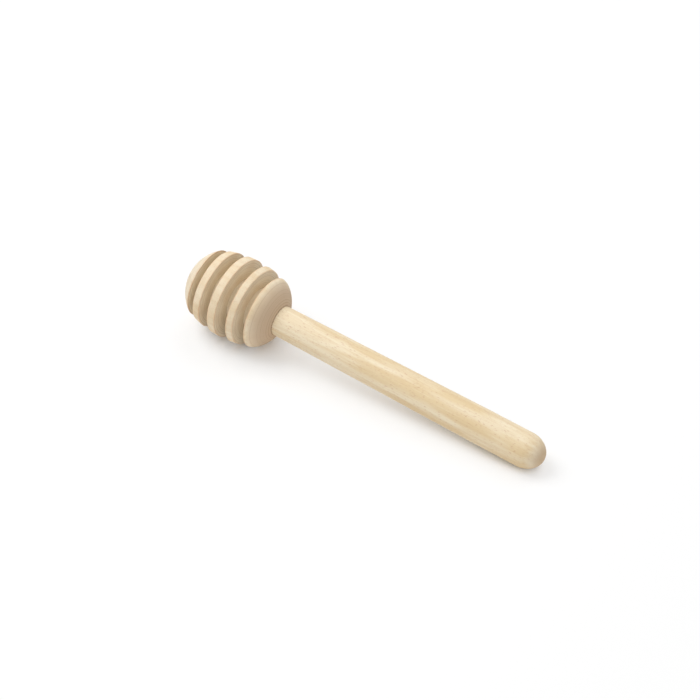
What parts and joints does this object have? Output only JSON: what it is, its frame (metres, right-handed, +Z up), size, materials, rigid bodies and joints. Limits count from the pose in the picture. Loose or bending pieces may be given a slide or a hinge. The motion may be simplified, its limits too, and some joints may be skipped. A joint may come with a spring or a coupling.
{
  "type": "honey dipper",
  "caption": "Wooden honey dipper: a barrel-shaped head with deep ring grooves and a domed tip, on a long, slightly tapered round handle with a rounded butt, lying at rest.",
  "frame": {"origin": "on the surface that the dipper lies on, under the middle of its overall box", "axes": "+X runs along the dipper from the tip of the head to the butt of the handle, +Z is up; the turning axis lies in the XZ plane and slopes about 4.2 degrees down to the butt, because the head is thicker than the handle"},
  "size_m": [0.1596, 0.0328, 0.033],
  "materials": {
    "head_wood": "bare turned beech, lightly sanded, unoiled",
    "handle_wood": "bare beech dowel, sanded smooth, unoiled",
    "wood_glue": "dried wood glue, hidden inside the joint"
  },
  "bodies": {
    "root": {"dipper_head": "head_wood", "handle": "handle_wood", "glue_film": "wood_glue"}
  },
  "joints": []
}
